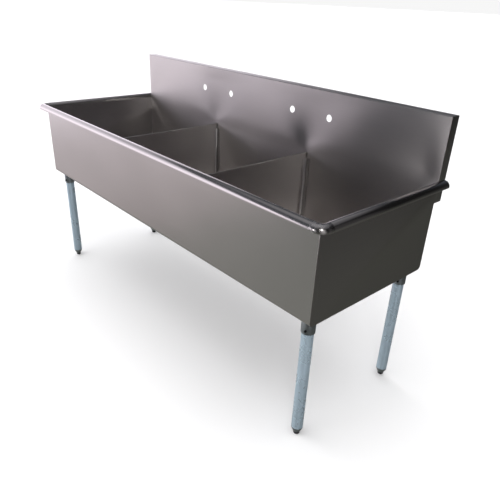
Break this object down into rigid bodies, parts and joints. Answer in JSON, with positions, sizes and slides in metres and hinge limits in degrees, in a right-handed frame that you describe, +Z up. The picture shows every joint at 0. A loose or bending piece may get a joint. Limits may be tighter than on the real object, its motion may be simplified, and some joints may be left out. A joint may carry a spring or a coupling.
{
  "type": "three compartment sink",
  "caption": "Restaurant sink with deep equal bowls side by side in one sheet body, rolled rim, backsplash with faucet holes, basket drains and tube legs on levelling feet.",
  "frame": {"origin": "on the floor, at the middle of the sink's length and depth", "axes": "+Z up, +X along the bowls to the right as seen from the front, +Y to the back, where the splash is"},
  "size_m": [1.908, 0.6922, 1.061],
  "materials": {
    "stainless": "brushed along the sheet",
    "polished_stainless": "ground and polished",
    "galvanised": "galvanised",
    "zinc": "zinc plated",
    "dark_plastic": "matt moulded",
    "rubber": "matt",
    "black_steel": "black oxide",
    "chrome": "bright plated"
  },
  "bodies": {
    "sink_body": {"bowl_wrap": "stainless", "left_end_panel": "stainless", "left_rim_corner": "polished_stainless", "left_divider": "stainless", "right_end_panel": "stainless", "right_rim_corner": "polished_stainless", "right_divider": "stainless", "front_left_leg_plate": "stainless", "front_left_leg_socket": "galvanised", "front_left_set_screw": "black_steel", "front_left_leg_tube": "galvanised", "front_left_foot_insert": "zinc", "front_right_leg_plate": "stainless", "front_right_leg_socket": "galvanised", "front_right_set_screw": "black_steel", "front_right_leg_tube": "galvanised", "front_right_foot_insert": "zinc", "rear_left_leg_plate": "stainless", "rear_left_leg_socket": "galvanised", "rear_left_set_screw": "black_steel", "rear_left_leg_tube": "galvanised", "rear_left_foot_insert": "zinc", "rear_right_leg_plate": "stainless", "rear_right_leg_socket": "galvanised", "rear_right_set_screw": "black_steel", "rear_right_leg_tube": "galvanised", "rear_right_foot_insert": "zinc", "left_drain_body": "polished_stainless", "left_drain_gasket": "rubber", "left_drain_lock_nut": "zinc", "left_tailpiece": "chrome", "left_coupling_nut": "chrome", "middle_drain_body": "polished_stainless", "middle_drain_gasket": "rubber", "middle_drain_lock_nut": "zinc", "middle_tailpiece": "chrome", "middle_coupling_nut": "chrome", "right_drain_body": "polished_stainless", "right_drain_gasket": "rubber", "right_drain_lock_nut": "zinc", "right_tailpiece": "chrome", "right_coupling_nut": "chrome"},
    "front_left_foot": {"front_left_foot": "dark_plastic"},
    "front_right_foot": {"front_right_foot": "dark_plastic"},
    "rear_left_foot": {"rear_left_foot": "dark_plastic"},
    "rear_right_foot": {"rear_right_foot": "dark_plastic"},
    "left_basket": {"left_strainer_basket": "polished_stainless"},
    "middle_basket": {"middle_strainer_basket": "polished_stainless"},
    "right_basket": {"right_strainer_basket": "polished_stainless"}
  },
  "joints": [
    {"name": "front_left_foot_height", "type": "slide", "parent": "sink_body", "child": "front_left_foot", "axis": [0, 0, -1], "range_m": [0, 0.025]},
    {"name": "front_right_foot_height", "type": "slide", "parent": "sink_body", "child": "front_right_foot", "axis": [0, 0, -1], "range_m": [0, 0.025]},
    {"name": "rear_left_foot_height", "type": "slide", "parent": "sink_body", "child": "rear_left_foot", "axis": [0, 0, -1], "range_m": [0, 0.025]},
    {"name": "rear_right_foot_height", "type": "slide", "parent": "sink_body", "child": "rear_right_foot", "axis": [0, 0, -1], "range_m": [0, 0.025]},
    {"name": "left_basket_lift", "type": "slide", "parent": "sink_body", "child": "left_basket", "axis": [0, 0, 1], "range_m": [0, 0.1]},
    {"name": "middle_basket_lift", "type": "slide", "parent": "sink_body", "child": "middle_basket", "axis": [0, 0, 1], "range_m": [0, 0.1]},
    {"name": "right_basket_lift", "type": "slide", "parent": "sink_body", "child": "right_basket", "axis": [0, 0, 1], "range_m": [0, 0.1]}
  ]
}
